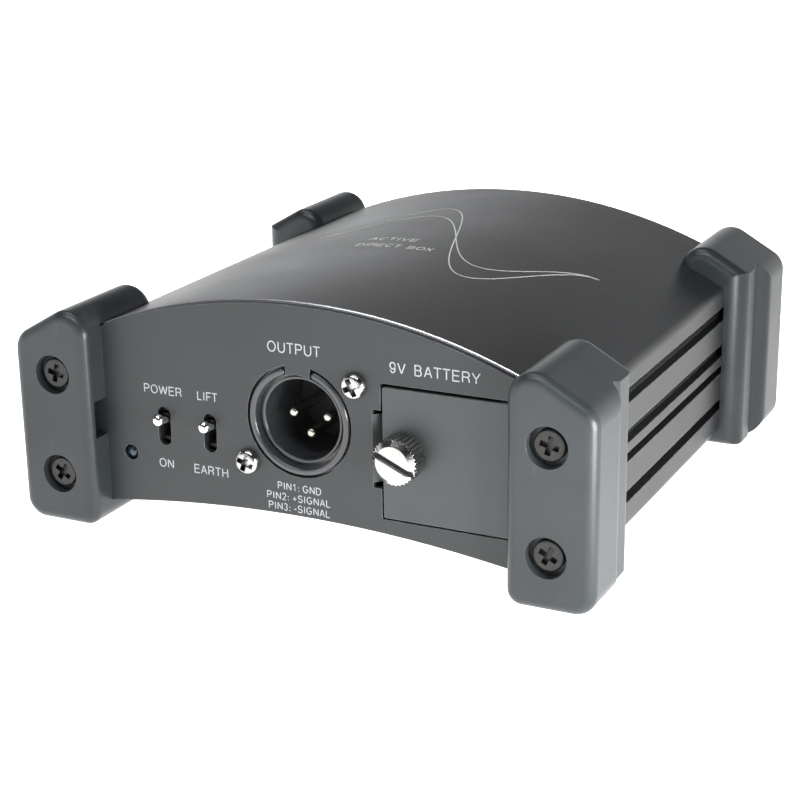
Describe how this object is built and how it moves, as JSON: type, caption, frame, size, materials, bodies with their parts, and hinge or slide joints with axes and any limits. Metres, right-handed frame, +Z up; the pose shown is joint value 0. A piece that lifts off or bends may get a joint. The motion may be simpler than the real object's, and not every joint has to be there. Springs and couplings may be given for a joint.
{
  "type": "direct injection box",
  "caption": "Arched aluminium stage box with rubber corners that turns an instrument jack signal into a balanced three-pin output, with toggles, lamp and battery door.",
  "frame": {"origin": "on the surface that the box stands on, under the middle of its length and width", "axes": "+X to the right seen from the front, +Y from the output panel at the front to the jack panel at the rear, +Z up"},
  "size_m": [0.1458, 0.145, 0.0591],
  "materials": {
    "case_black": "satin",
    "panel_black": "satin",
    "bumper_rubber": "matt",
    "screw_black": "satin",
    "socket_black": "satin",
    "insert_black": "matt",
    "contact_silver": "polished",
    "screw_chrome": "polished",
    "switch_black": "matt",
    "lever_chrome": "polished",
    "lamp_blue": "gloss",
    "zinc_steel": "satin",
    "tray_plastic": "matt",
    "battery_wrap": "satin",
    "lead_red": "satin",
    "lead_black": "satin",
    "board_green": "satin",
    "core_steel": "satin",
    "winding_tape": "satin",
    "chip_black": "matt",
    "can_sleeve": "satin",
    "film_block": "satin",
    "resistor_body": "satin",
    "header_white": "satin",
    "jack_black": "satin",
    "nut_nickel": "satin"
  },
  "bodies": {
    "chassis": {"case_shell": "case_black", "front_panel": "panel_black", "rear_panel": "panel_black", "front_right_bumper": "bumper_rubber", "front_left_bumper": "bumper_rubber", "rear_left_bumper": "bumper_rubber", "rear_right_bumper": "bumper_rubber", "front_bumper_screws": "screw_black", "rear_bumper_screws": "screw_black", "xlr_shell": "socket_black", "xlr_insert": "insert_black", "xlr_pins": "contact_silver", "xlr_screws": "screw_chrome", "power_switch": "switch_black", "lift_switch": "switch_black", "pad_20_switch": "switch_black", "pad_40_switch": "switch_black", "switch_terminals": "contact_silver", "power_led": "lamp_blue", "power_led_leads": "contact_silver", "door_hinge_bracket": "zinc_steel", "door_hinge_pin": "zinc_steel", "clinch_nut": "zinc_steel", "battery_tray": "tray_plastic", "battery": "battery_wrap", "battery_terminals": "contact_silver", "battery_snap": "switch_black", "battery_lead_red": "lead_red", "battery_lead_black": "lead_black", "circuit_board": "board_green", "transformer_core": "core_steel", "transformer_winding": "winding_tape", "op_amps": "chip_black", "electrolytic_capacitors": "can_sleeve", "film_capacitors": "film_block", "resistors": "resistor_body", "output_header": "header_white", "output_leads": "lead_black", "input_jack": "jack_black", "link_jack": "jack_black", "jack_nuts": "nut_nickel", "jack_washers": "nut_nickel"},
    "power_lever": {"power_lever": "lever_chrome"},
    "lift_lever": {"lift_lever": "lever_chrome"},
    "pad_20_lever": {"pad_20_lever": "lever_chrome"},
    "pad_40_lever": {"pad_40_lever": "lever_chrome"},
    "battery_door": {"battery_door": "panel_black"},
    "thumbscrew_washer": {"thumbscrew_washer": "screw_chrome"},
    "thumbscrew": {"thumbscrew": "screw_chrome"}
  },
  "joints": [
    {"name": "power_toggle", "type": "hinge", "parent": "chassis", "child": "power_lever", "pos_m": [-0.0364, -0.0562, 0.02575], "axis": [1, 0, 0], "range_deg": [0, 22]},
    {"name": "lift_toggle", "type": "hinge", "parent": "chassis", "child": "lift_lever", "pos_m": [-0.024, -0.0562, 0.02575], "axis": [1, 0, 0], "range_deg": [0, 22]},
    {"name": "pad_20_toggle", "type": "hinge", "parent": "chassis", "child": "pad_20_lever", "pos_m": [0.024, 0.0562, 0.02575], "axis": [-1, 0, 0], "range_deg": [0, 22]},
    {"name": "pad_40_toggle", "type": "hinge", "parent": "chassis", "child": "pad_40_lever", "pos_m": [0.0364, 0.0562, 0.02575], "axis": [-1, 0, 0], "range_deg": [0, 22]},
    {"name": "door_swing", "type": "hinge", "parent": "chassis", "child": "battery_door", "pos_m": [0.0494, -0.0626, 0.0274], "axis": [0, 0, 1], "range_deg": [0, 85]},
    {"name": "thumbscrew_travel", "type": "slide", "parent": "battery_door", "child": "thumbscrew_washer", "axis": [0, -1, 0], "range_m": [0, 0.0028]},
    {"name": "thumbscrew_turn", "type": "hinge", "parent": "thumbscrew_washer", "child": "thumbscrew", "pos_m": [0.0261, -0.066, 0.02805], "axis": [0, -1, 0], "range_deg": [0, 1440]}
  ],
  "couplings": [
    {"joint": "thumbscrew_turn", "follows": "thumbscrew_travel", "rad_per_m": 8975.9}
  ]
}
